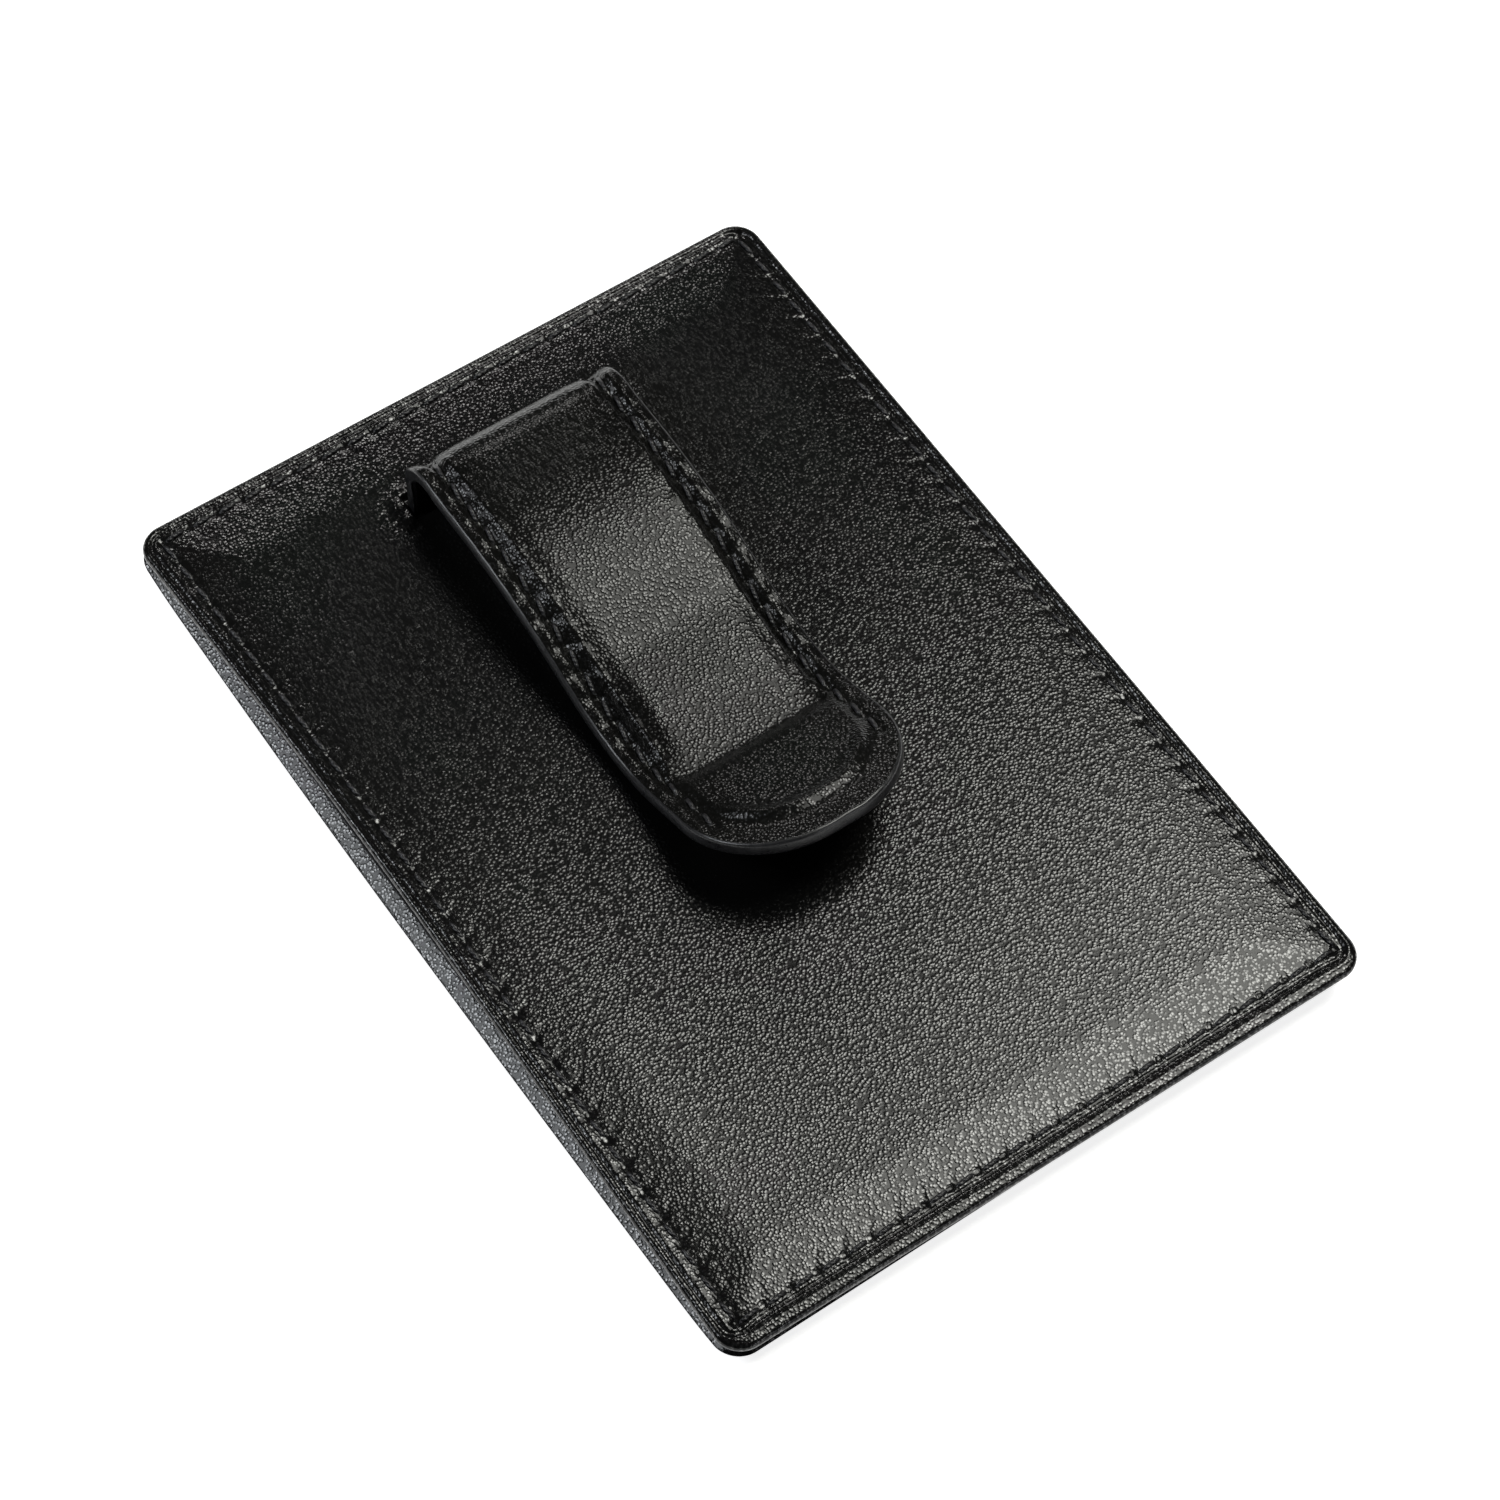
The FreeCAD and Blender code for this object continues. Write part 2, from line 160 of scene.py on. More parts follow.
# ---- the slit that the clip comes out of ----
SLIT_LOW = (37.95, 38.35)       # y where it begins, between flat leather and full depth
SLIT_HIGH = (40.85, 41.2)
SLIT_MIDDLE_Y = 39.6
SLIT_DEPTH = 0.75
SLIT_LIP_Y = 41.6
SLIT_LIP = 0.16
SLIT_END_RING = 0.20
SLIT_END_WRINKLE = 0.05

# ---- sewn and used shape of the case ----
GAPE_UP = 1.7                   # rise of the back panel at the open mouth
GAPE_DOWN = 0.75                # drop of the front panel there
GAPE_PEAK = 0.43                # place of the widest gap, from the bend end
GAPE_REACH = 26.0
SEAM_REACH = 4.4                # the seams press the stack together over this width
MOUTH_REACH = 5.0
BACK_SHIFT = 0.45               # the open edges curl inwards and outwards as they gape
FRONT_SHIFT = -0.25
BACK_EDGE_R = 0.55
CROWN = 0.22                    # rise of the back inwards from the rows of stitches
CROWN_BAND = (2.6, 8.5)
BACK_CREASES = (0.85, 1.1, 2.0, 0.95)   # distance from the open, closed, far and bend edges
FRONT_CREASES = (0.9, 1.1, 1.4, 0.95)
BACK_CREASE_DEPTH = 0.22
FRONT_CREASE_DEPTH = 0.15
CREASE_LIP = 0.07
EDGE_ROUNDING = 0.10
POCKET_CREASE = 0.10
POCKET_CREASE_IN = 1.3
FRONT_ROLL = 1.7                # width of the sloping edge of the front panel
FRONT_FALL = 0.78
FRONT_ROLL_STEPS = 8
FRONT_FACE_INSET = 0.44
FRONT_STEP = 0.8                # the front stops short of the back at the far end's closed corner
STEP_REACH = 12.0

# ---- fineness of the meshes ----
UNDER_STEP = 8                  # grid steps of a top for one of its underside
ROD_STEPS = 9
ROD_SIDES = 8
PATH_SPACING = 0.05

# ---- leathers: grain depth, two tones, range of roughness and strength of reflection ----
CASE_CALF = {"depth": 0.020, "tones": ((0.0022, 0.0022, 0.0023), (0.0042, 0.0042, 0.0040)),
             "roughness": (0.16, 0.22), "shine": 1.0}
CLIP_CALF = {"depth": 0.028, "tones": ((0.0026, 0.0026, 0.0024), (0.0050, 0.0050, 0.0045)),
             "roughness": (0.17, 0.24), "shine": 0.60}
CELLS_PER_MM = 3.0

# ---- studio ----
CAMERA_LENS = 107.17
CAMERA_SENSOR = 36.0
CAMERA_PLACE = (-134.60, -167.91, 368.87)
CAMERA_AIM = (0.787, -0.893, 3.99)
CAMERA_TILT = 5.009             # degrees about the line of sight
FLOOR_HALF = 2500.0
WORLD_STRENGTH = 0.05
LAMPS = [                       # name, direction from the case, distance, size, power, colour
    ("key_panel", (0.42, 0.035, 0.88), 620, 290, 2.6, (1.0, 1.0, 0.94)),
    ("side_panel", (-0.64, 0.38, 0.66), 700, 250, 1.7, (0.92, 0.96, 1.0)),
    ("near_panel", (0.32, -0.86, 0.40), 700, 300, 0.45, (0.96, 0.98, 1.0)),
    ("back_panel", (0.30, 0.76, 0.58), 800, 130, 0.6, (1.0, 0.98, 0.95)),
]


# ---------------------------------------------------------------- small maths
def smooth(value, low, high):
    t = np.clip((value - low) / (high - low), 0.0, 1.0)
    return t * t * (3.0 - 2.0 * t)


def bump_at(value, width):
    return np.exp(-(value / width) ** 2)


def unit(vectors):
    return vectors / np.linalg.norm(vectors, axis=-1, keepdims=True)


def inwards(past_u, past_v, radius):
    """Distance inwards from a rounded outline, from the places past its corner's centre."""
    beyond = np.hypot(np.maximum(past_u, 0), np.maximum(past_v, 0))
    return radius - (beyond + np.minimum(np.maximum(past_u, past_v), 0))


def graded(low, high, coarse, zones):
    """Grid lines from low to high, coarse except in zones of (start, end, step)."""
    marks = {low, high}
    for start, end, _ in zones:
        marks |= {min(max(start, low), high), min(max(end, low), high)}
    marks = sorted(marks)
    lines = [low]
    for a, b in zip(marks, marks[1:]):
        steps = [step for start, end, step in zones if start <= (a + b) / 2 <= end]
        count = math.ceil((b - a) / min(steps + [coarse]) / UNDER_STEP - 1e-6) * UNDER_STEP
        lines += list(np.linspace(a, b, count + 1)[1:])
    return np.array(lines)


# ---------------------------------------------------------------- meshes
def new_object(name, verts, faces, materials, face_materials=None, flat=()):
    mesh = bpy.data.meshes.new(name)
    mesh.from_pydata((np.asarray(verts) * MM).tolist(), [], faces)
    for material in materials:
        mesh.materials.append(material)
    if face_materials is not None:
        mesh.polygons.foreach_set("material_index", face_materials)
    rounded = np.ones(len(mesh.polygons), bool)
    rounded[list(flat)] = False
    mesh.polygons.foreach_set("use_smooth", rounded)
    mesh.update()
    piece = bpy.data.objects.new(name, mesh)
    bpy.context.scene.collection.objects.link(piece)
    return piece


class Outline:
    """A rectangle in plan with its own radius at each corner: (-u -v), (+u -v), (-u +v), (+u +v)."""

    def __init__(self, us, vs, radii):
        self.centre = ((us[0] + us[-1]) / 2, (vs[0] + vs[-1]) / 2)
        self.half = ((us[-1] - us[0]) / 2, (vs[-1] - vs[0]) / 2)
        self.us = (us - self.centre[0]) / self.half[0]
        self.vs = (vs - self.centre[1]) / self.half[1]
        self.radii = radii

    def grid(self, inset, step=1):
        """Plan places of the grid lines, squeezed inside the outline moved in by inset."""
        a, b = self.half[0] - inset, self.half[1] - inset
        u, v = np.meshgrid(self.us[::step] * a, self.vs[::step] * b, indexing="ij")
        low = np.where(u < 0, self.radii[0], self.radii[1])
        high = np.where(u < 0, self.radii[2], self.radii[3])
        radius = np.maximum(np.where(v < 0, low, high) - inset, 0.02)
        cu = np.maximum(np.abs(u) - (a - radius), 0.0) / radius
        cv = np.maximum(np.abs(v) - (b - radius), 0.0) / radius
        flat_u = np.minimum(np.abs(u), a - radius) + radius * cu * np.sqrt(1 - cv ** 2 / 2)
        flat_v = np.minimum(np.abs(v), b - radius) + radius * cv * np.sqrt(1 - cu ** 2 / 2)
        return self.centre[0] + np.sign(u) * flat_u, self.centre[1] + np.sign(v) * flat_v


def rim_loop(shape):
    """Indices of the border of a grid, in order."""
    nu, nv = shape
    index = np.arange(nu * nv).reshape(nu, nv)
    return np.concatenate([index[:-1, 0], index[-1, :-1], index[:0:-1, -1], index[0, :0:-1]])


def grid_faces(shape, offset, flip):
    nu, nv = shape
    index = np.arange(nu * nv).reshape(nu, nv) + offset
    quads = np.stack([index[:-1, :-1], index[1:, :-1], index[1:, 1:], index[:-1, 1:]], axis=-1)
    quads = quads.reshape(-1, 4)
    return (quads[:, ::-1] if flip else quads).tolist()


def closing_faces(edge, low_edge, coarse):
    """Faces between the last ring and the border of a coarser grid underneath."""
    faces = []
    for i, corner in enumerate(low_edge):
        span = [int(edge[(i * coarse + k) % len(edge)]) for k in range(coarse + 1)]
        faces.append(span[::-1] + [int(corner), int(low_edge[(i + 1) % len(low_edge)])])
    return faces


class Skin:
    """The points, faces and material numbers of a closed skin, gathered part by part."""

    def __init__(self, place):
        self.place = place
        self.points = []
        self.faces = []
        self.kinds = []
        self.flat = []
        self.count = 0

    def add_points(self, u, v, level):
        """Adds points and gives their numbers. level is a number or a function of the plan place."""
        levels = level(u, v) if callable(level) else np.full(np.shape(u), float(level))
        self.points.append(self.place(u.ravel(), v.ravel(), levels.ravel()))
        numbers = np.arange(self.count, self.count + u.size)
        self.count += u.size
        return numbers

    def add_faces(self, faces, kind, flat=False):
        if flat:
            self.flat += range(len(self.faces), len(self.faces) + len(faces))
        self.faces += faces
        self.kinds += [kind] * len(faces)


def shell(name, outline, top, rings, bottom, place, materials, rim_material=0, coarse=UNDER_STEP):
    """A closed skin: a grid on top, rings round its border and a coarser grid underneath.

    top and bottom are (inset, level) and rings a list of them, with "sharp" added where the faces up
    to a ring are flat. place turns (u, v, level) into a point.
    """
    skin = Skin(place)
    u, v = outline.grid(top[0])
    border = rim_loop(u.shape)
    edge = skin.add_points(u, v, top[1])[border]
    skin.add_faces(grid_faces(u.shape, 0, False), 0)
    for inset, level, *sharp in rings:
        u, v = outline.grid(inset)
        ring = skin.add_points(u.ravel()[border], v.ravel()[border], level)
        band = np.stack([edge, ring, np.roll(ring, -1), np.roll(edge, -1)], axis=-1)
        skin.add_faces(band.tolist(), rim_material, flat=bool(sharp))
        edge = ring
    u, v = outline.grid(bottom[0], coarse)
    under = skin.add_points(u, v, bottom[1])
    skin.add_faces(grid_faces(u.shape, under[0], True), 0)
    skin.add_faces(closing_faces(edge, under[rim_loop(u.shape)], coarse), rim_material)
    return new_object(name, np.concatenate(skin.points), skin.faces, materials, skin.kinds, skin.flat)


def half_round(z_top, z_bottom, steps=5):
    """Rings of a rounded edge between two levels, from the top one down."""
    radius = (z_top - z_bottom) / 2
    rings = []
    for i in range(1, steps):
        a = math.pi * i / steps
        rings.append((radius * (1 - math.sin(a)), z_bottom + radius * (1 + math.cos(a))))
    return rings


def slab(name, x0, x1, y_half, z0, z1, radii, material, relief=None, step=0.6):
    """A thin sheet of the stack with a rounded edge, settled with the rest. relief shapes its underside."""
    fine, coarse = step / 2, step * 1.6
    end_band, side_band = 3.0, 4.0
    xs = graded(x0, x1, coarse, [(x0, x0 + end_band, fine), (x1 - end_band, x1, fine)])
    side_zones = [(-y_half, side_band - y_half, fine), (y_half - side_band, y_half, fine)]
    ys = graded(-y_half, y_half, coarse, side_zones)
    radius = (z1 - z0) / 2
    bottom = (lambda x, y: z0 + relief(x, y)) if relief else z0
    return shell(name, Outline(xs, ys, radii), (radius, z1), half_round(z1, z0), (radius, bottom), settle,
                 [material], coarse=1 if relief else UNDER_STEP)


# ---------------------------------------------------------------- the settled case
STACK = np.array([0.0, Z_FRONT, Z_FRONT_LINING, Z_FRONT_LINING + LINING_T, Z_BACK_LINING, Z_BACK_FOLD, Z_TOP])
SEAM_DEPTHS = np.array([2.62, 1.96, 1.12, 1.09, 1.06, 1.02, 0.0])      # below the top, in the seams
MOUTH_DEPTHS = np.array([4.39, 2.84, 2.00, 1.80, 1.30, 1.12, 0.0])     # the same at the open edge


def gape(y):
    """From 0 at the corners to 1 where the open mouth gapes most."""
    share = np.clip((HALF_L - y) / (2 * HALF_L), 0.0, 1.0)
    power = math.log(0.5) / math.log(GAPE_PEAK)
    return np.sin(math.pi * share ** power) ** 1.5


def settle(x, y, z):
    """Moves a point of the flat CAD stack to its place in the sewn case."""
    inner = np.clip(z, 0.0, Z_TOP)
    flat = Z_TOP - inner
    to_seam = np.minimum(HALF_L - np.abs(y), HALF_W - x)
    seam = bump_at(np.maximum(to_seam, 0.0), SEAM_REACH)
    mouth = bump_at(x + HALF_W, MOUTH_REACH) * (1 - seam)
    depth = flat + seam * (np.interp(inner, STACK, SEAM_DEPTHS) - flat)
    depth += mouth * (np.interp(inner, STACK, MOUTH_DEPTHS) - flat)
    bend = (1 - np.clip((x + HALF_W) / GAPE_REACH, 0.0, 1.0)) ** 2 * gape(y)
    is_back = z > Z_POCKET
    new_z = Z_TOP - depth + (z - inner) + bend * np.where(is_back, GAPE_UP, -GAPE_DOWN)
    inward = bend * np.where(is_back, BACK_SHIFT, FRONT_SHIFT)
    step = np.where(is_back, 0.0, FRONT_STEP * (x + HALF_W) / (2 * HALF_W)) * bump_at(y + HALF_L, STEP_REACH)
    return np.stack([x + inward, y + step, new_z], axis=-1)


def edge_distance(x, y):
    """Distance inwards from the rounded outline of the case."""
    return inwards(np.abs(x) - (HALF_W - CORNER_R), np.abs(y) - (HALF_L - CORNER_R), CORNER_R)


def crease_inset(x, y, insets):
    """How far in the crease runs at a place, from its insets (open, closed, far, bend)."""
    sides = np.stack([x + HALF_W, HALF_W - x, y + HALF_L, HALF_L - y])
    near = np.exp(-(sides - sides.min(axis=0)) / 0.9)
    return (near * np.reshape(insets, (4,) + (1,) * np.ndim(x))).sum(axis=0) / near.sum(axis=0)


def from_nearest_hole(along, start, end):
    """Distance along a row from the nearest hole between two stitches, and the row's own pitch."""
    pitch = (end - start) / round((end - start) / PITCH)
    near = (along - start) / pitch
    return (near - np.round(near)) * pitch, pitch


def between_holes(near, pitch):
    """From 0 at a hole to 1 halfway to the next."""
    return 0.5 + 0.5 * np.cos(2 * math.pi * (near / pitch + 0.5))


def stitch_relief(along, across, start, end):
    """Height of leather round a row of stitches. across is positive on the inner side of the row."""
    near, pitch = from_nearest_hole(along, start, end)
    on_row = smooth(along, start - 1.0, start) * (1 - smooth(along, end, end + 1.0))
    hole = -HOLE_DEPTH * bump_at(near, 0.32) * bump_at(across, 0.34)
    trough = -TROUGH_DEPTH * bump_at(across, 0.62) - DIP_DEPTH * bump_at(across - 0.5, 1.6)
    beside = smooth(across, 0.1, 0.5) * (1 - smooth(across, 1.1, 2.2))
    wrinkle = -WRINKLE_DEPTH * bump_at(near - 0.45 * across, 0.30) * beside
    puff = PUFF_HEIGHT * bump_at(across + 0.85, 0.45) * between_holes(near, pitch)
    return on_row * (hole + trough + wrinkle + puff)


def rows_relief(x, y):
    """The four rows of the case, and no deeper than one of them where two cross."""
    relief = stitch_relief(y, x - ROW_OPEN, ROW_FAR, ROW_BEND)
    relief += stitch_relief(y, ROW_CLOSED - x, ROW_FAR, ROW_BEND)
    relief += stitch_relief(x, y - ROW_FAR, ROW_OPEN, ROW_CLOSED)
    relief += stitch_relief(x, ROW_BEND - y, ROW_OPEN, ROW_CLOSED)
    return np.maximum(relief, ROWS_DEEPEST)


def leg_bulge(x, y):
    """The leather raised over the clip's leg, inside the case."""
    d = inwards(np.abs(x) - (LEG_HALF_W - LEG_CORNER_R), LEG_END_Y + LEG_CORNER_R - y, LEG_CORNER_R)
    return LEG_RISE * smooth(d, -2.0, 1.8) * (1 - smooth(y, 37.2, 38.9))


def slit_ends(x, y):
    """The leather pulled into a ring and small wrinkles at the two ends of the slit."""
    relief = 0.0
    for side in (-1, 1):
        dx, dy = side * x - CLIP_HALF_W - 0.6, y - SLIT_MIDDLE_Y
        ring = np.hypot(dx, dy * 0.8)
        wrinkles = SLIT_END_WRINKLE * bump_at(ring - 1.5, 1.4) * np.sin(3.4 * dy + 1.7 * dx)
        relief += SLIT_END_RING * bump_at(ring - 0.9, 0.5) + wrinkles
    return relief


def slit_relief(x, y):
    """The slit that the clip comes out of, its lip and the pulled leather at its two ends."""
    reach = np.abs(x) - CLIP_HALF_W
    inside = (1 - smooth(reach, 0.05, 0.35)) * smooth(y, *SLIT_LOW) * (1 - smooth(y, *SLIT_HIGH))
    lip = SLIT_LIP * bump_at(y - SLIT_LIP_Y, 0.5) * (1 - smooth(reach, -0.5, 1.0))
    return lip + slit_ends(x, y) * (1 - inside) - SLIT_DEPTH * inside


def crown(x, y):
    return CROWN * smooth(edge_distance(x, y), *CROWN_BAND)


def back_relief(x, y):
    d = edge_distance(x, y)
    inset = crease_inset(x, y, BACK_CREASES)
    crease = -BACK_CREASE_DEPTH * bump_at(d - inset, 0.24) + CREASE_LIP * bump_at(d - inset * 0.55, 0.25)
    rounding = -EDGE_ROUNDING * bump_at(d, 0.5)
    return crease + rounding + crown(x, y) + rows_relief(x, y) + leg_bulge(x, y) + slit_relief(x, y)


def front_relief(x, y):
    """Relief of the front panel's face, which looks down."""
    d = edge_distance(x, y)
    inset = crease_inset(x, y, FRONT_CREASES)
    return FRONT_CREASE_DEPTH * bump_at(d - inset, 0.22) - rows_relief(x, y) * 0.9


# ---------------------------------------------------------------- the clip's path
def path_steps():
    """The clip's centre line as (radius, turn in degrees) arcs and (0, length) lines, in order."""
    drop = math.degrees(math.asin((LEVEL_END_Y - DROP_END_Y) / DROP_R))
    slope = math.radians(drop)
    pinch_y = SLOPE_END_Y - PINCH_R * math.sin(slope)
    rise = math.degrees(math.asin((pinch_y - LIP_START_Y) / LIP_R))
    return [
        (0, SPLIT_Z - RISER_START_Z),
        (BEND_R, 90.0),
        (0, BEND_Y - LEVEL_END_Y),
        (DROP_R, drop),
        (0, (DROP_END_Y - SLOPE_END_Y) / math.cos(slope)),
        (PINCH_R, -drop),
        (LIP_R, -rise),
        (0, (LIP_START_Y - TIP_Y) / math.cos(math.radians(rise))),
    ]


def sampled_path():
    """Arc lengths, y, z and headings (radians) of closely spaced points of the centre line."""
    length, y, z, heading = [0.0], [RISER_Y], [RISER_START_Z], [math.pi / 2]
    for radius, amount in path_steps():
        run = abs(math.radians(amount)) * radius if radius else amount
        count = max(2, math.ceil(run / PATH_SPACING))
        turn = math.radians(amount) / count if radius else 0.0
        for _ in range(count):
            middle = heading[-1] + turn / 2
            y.append(y[-1] + run / count * math.cos(middle))
            z.append(z[-1] + run / count * math.sin(middle))
            heading.append(heading[-1] + turn)
            length.append(length[-1] + run / count)
    return np.array(length), np.array(y), np.array(z), np.array(heading)


PATH_S, PATH_Y, PATH_Z, PATH_H = sampled_path()
CLIP_END = PATH_S[-1]
S_BEND = SPLIT_Z - RISER_START_Z
S_BEND_END = S_BEND + BEND_R * math.pi / 2


def path_place(target_y):
    """Arc length where the arm reaches a y, after the bend."""
    arm = PATH_S > S_BEND_END
    return float(np.interp(-target_y, -PATH_Y[arm], PATH_S[arm]))


S_FOLD = path_place(LIP_START_Y)
S_STEEL_TIP = path_place(STEEL_TIP_Y)
S_BRIDGED = path_place(BRIDGED_Y)
CLIP_ROW_START = S_BEND + CLIP_ROW_LEAD
CLIP_ROW_END = S_FOLD + CLIP_ROW_PAST_FOLD


def clip_place(u, s, level):
    """A point of the clip: u across, s along the centre line, level out of its outer face."""
    y, z, h = (np.interp(s, PATH_S, values) for values in (PATH_Y, PATH_Z, PATH_H))
    corner = smooth(s, S_BEND - 2, S_BEND + 1.5) * (1 - smooth(s, S_BEND + 2.5, S_BEND_END + 2.0))
    edge = smooth(np.abs(u), 8.8, CLIP_HALF_W) * corner
    level = level + edge * np.where(u < 0, CURL_LEFT, CURL_RIGHT)
    return np.stack([u, y + level * np.sin(h), z - level * np.cos(h)], axis=-1)


def steel_distance(u, s):
    """Distance inwards from the outline of the steel inside the clip."""
    half_width = STEEL_HALF_W + STEEL_COVER
    round_start = S_STEEL_TIP - STEEL_TOE_R
    toe = inwards(np.abs(u) - (half_width - STEEL_TOE_R), s - (round_start + 0.3), STEEL_TOE_R)
    return np.where(s > round_start, toe, half_width - np.abs(u))


def clip_row_relief(u, s):
    """The pulled-in rows beside the steel, with puffs of leather between the stitches."""
    across = CLIP_ROW_X - np.abs(u)
    near, pitch = from_nearest_hole(s, CLIP_ROW_START, CLIP_ROW_END)
    on_row = smooth(s, CLIP_ROW_START - 1.2, CLIP_ROW_START) * (1 - smooth(s, CLIP_ROW_END, CLIP_ROW_END + 1))
    strength = 1 - 0.65 * smooth(s, S_FOLD - 1.0, S_FOLD + 2.0)
    hole = -CLIP_HOLE_DEPTH * bump_at(near, 0.36) * bump_at(across, 0.40)
    trough = -CLIP_TROUGH_DEPTH * bump_at(across, 0.50)
    puffs = CLIP_OUTER_PUFF * bump_at(across + 0.95, 0.55) + CLIP_INNER_PUFF * bump_at(across - 1.0, 0.60)
    beside = smooth(across, 0.3, 0.7) * (1 - smooth(across, 1.6, 2.8))
    pull = -CLIP_PULL_DEPTH * bump_at(near - 0.5 * across, 0.28) * beside
    return on_row * strength * (hole + trough + puffs * between_holes(near, pitch) + pull)


def bridged_level(s):
    """Level of the pad's face where its leather runs straight across the hollow before the fold."""
    y, z, h = (np.interp(s, PATH_S, values) for values in (PATH_Y, PATH_Z, PATH_H))
    straight = BRIDGE_Z + BRIDGE_SLOPE * (y - LIP_START_Y)
    return (straight - z) / np.maximum(np.abs(np.cos(h)), 0.5)


def pad_level(s):
    """Level of the middle of the pad and of the lip past the fold."""
    padded = PAD_T + 0.20 * smooth(s, S_BEND + 1.5, S_BEND_END + 3)
    apart = bridged_level(np.minimum(s, S_FOLD)) - padded
    bridged = padded + (apart + np.sqrt(apart ** 2 + BRIDGE_BLEND)) / 2
    level = np.where(s > S_BEND_END + 4, bridged, padded)
    clear = smooth(s, S_BRIDGED, S_BRIDGED + 2)
    level = np.where(s > S_BRIDGED, level + clear * (padded + apart - level), level)
    at_fold = float(bridged_level(S_FOLD))
    past = np.sin(math.pi / 2 * np.clip((s - S_FOLD) / FOLD_REACH, 0.0, 1.0))
    return np.where(s > S_FOLD, at_fold + past * (PAD_T - at_fold), level)


def clip_top_level(u, s):
    """Level of the top cover: thin margins, the pad, the ridge at the steel's tip and the sewn rows."""
    d = steel_distance(u, s)
    rise = 0.75 * smooth(d, -0.55, 0.60) + 0.25 * smooth(d, 0.3, 2.6)
    level = MARGIN_T + (pad_level(s) - MARGIN_T) * rise
    tip_ridge = TIP_RIDGE * bump_at(d - 0.25, 0.8) * smooth(s, S_STEEL_TIP - 6.5, S_STEEL_TIP - 2.0)
    to_edge = np.maximum(CLIP_HALF_W - np.abs(u), 0)
    near_end = smooth(s, CLIP_END - 4.2, CLIP_END - 1.2)
    flutes = FLUTE_HEIGHT * np.sin(1.9 * u + 0.35 * np.sin(2.3 * u)) * near_end
    rolled = 0.05 * bump_at(to_edge - 0.8, 0.5)
    return level + tip_ridge + flutes + rolled + clip_row_relief(u, s)


def clip_under_level(u, s):
    d = steel_distance(u, s)
    level = MARGIN_T + (PAD_T - MARGIN_T) * smooth(d, -0.55, 0.85) - 0.06
    return -(level + UNDER_RELIEF * clip_row_relief(u, s))


# ---------------------------------------------------------------- stitches
def rod_spines(centres, tangents, place, lift, slant):
    """The middle line of each stitch, and unit vectors across it and out of the leather."""
    t = np.linspace(-1, 1, ROD_STEPS)
    forward = unit(tangents)
    sideways = np.stack([-forward[:, 1], forward[:, 0]], axis=-1)
    plan = centres[:, None, :2] + forward[:, None, :] * t[None, :, None] * STITCH_L / 2
    plan = plan + sideways[:, None, :] * (slant * t)[None, :, None]
    rise = lift * (0.10 - 0.42 * np.abs(t) ** 3.5)
    level = centres[:, None, 2] + rise[None, :]
    spine = place(plan[..., 0], plan[..., 1], level)
    above = place(plan[..., 0], plan[..., 1], level + 0.05)
    out = unit(above - spine)
    return spine, np.cross(unit(np.gradient(spine, axis=1)), out), out


def rod_faces(count):
    """The sides and the two end caps of each stitch."""
    faces = []
    for i in range(count):
        base = i * ROD_STEPS * ROD_SIDES
        last = base + (ROD_STEPS - 1) * ROD_SIDES
        for a in range(base, last, ROD_SIDES):
            b = a + ROD_SIDES
            for k in range(ROD_SIDES):
                m = (k + 1) % ROD_SIDES
                faces.append((a + k, a + m, b + m, b + k))
        faces.append(tuple(base + k for k in reversed(range(ROD_SIDES))))
        faces.append(tuple(last + k for k in range(ROD_SIDES)))
    return faces


def rods(name, rows, place, lift, material, slant=0.12):
    """One mesh of the sewn stitches of some rows. lift is 1 on a face that looks up and -1 underneath."""
    centres = np.array([centre for row_centres, _ in rows for centre in row_centres], float)
    tangents = np.array([tangent for _, row_tangents in rows for tangent in row_tangents], float)
    spine, across, out = rod_spines(centres, tangents, place, lift, slant)
    narrowing = 1 - 0.35 * np.abs(np.linspace(-1, 1, ROD_STEPS)) ** 5
    radius = THREAD_W / 2 * narrowing[None, :, None]
    rings = []
    for k in range(ROD_SIDES):
        a = 2 * math.pi * k / ROD_SIDES
        rings.append(spine + radius * (math.cos(a) * across * 1.1 + math.sin(a) * out * 0.85))
    points = np.stack(rings, axis=2).reshape(-1, 3)
    return new_object(name, points, rod_faces(len(centres)), [material])


def row(u0, v0, u1, v1, level):
    """Centres, with their base level, and tangents of a straight row of stitches between two corners."""
    count = round(math.hypot(u1 - u0, v1 - v0) / PITCH)
    centres, tangents = [], []
    for i in range(count):
        t = (i + 0.5) / count
        u, v = u0 + (u1 - u0) * t, v0 + (v1 - v0) * t
        centres.append((u, v, level(u, v)))
        tangents.append((u1 - u0, v1 - v0))
    return centres, tangents


# ---------------------------------------------------------------- materials
def new_material(name):
    material = bpy.data.materials.new(name)
    material.use_nodes = True
    tree = material.node_tree
    return material, tree, tree.nodes["Principled BSDF"]


def grey(value):
    return (value, value, value)


def object_space(tree):
    """Object coordinates in millimetres."""
    coords = tree.nodes.new("ShaderNodeTexCoord")
    mapping = tree.nodes.new("ShaderNodeMapping")
    mapping.inputs["Scale"].default_value = grey(1 / MM)
    tree.links.new(coords.outputs["Object"], mapping.inputs["Vector"])
    return mapping.outputs["Vector"]


def ramp(tree, value, stops):
    node = tree.nodes.new("ShaderNodeValToRGB")
    tree.links.new(value, node.inputs["Fac"])
    elements = node.color_ramp.elements
    elements[0].position, elements[0].color = stops[0][0], (*stops[0][1], 1)
    elements[1].position, elements[1].color = stops[-1][0], (*stops[-1][1], 1)
    for position, colour in stops[1:-1]:
        elements.new(position).color = (*colour, 1)
    return node.outputs["Color"]


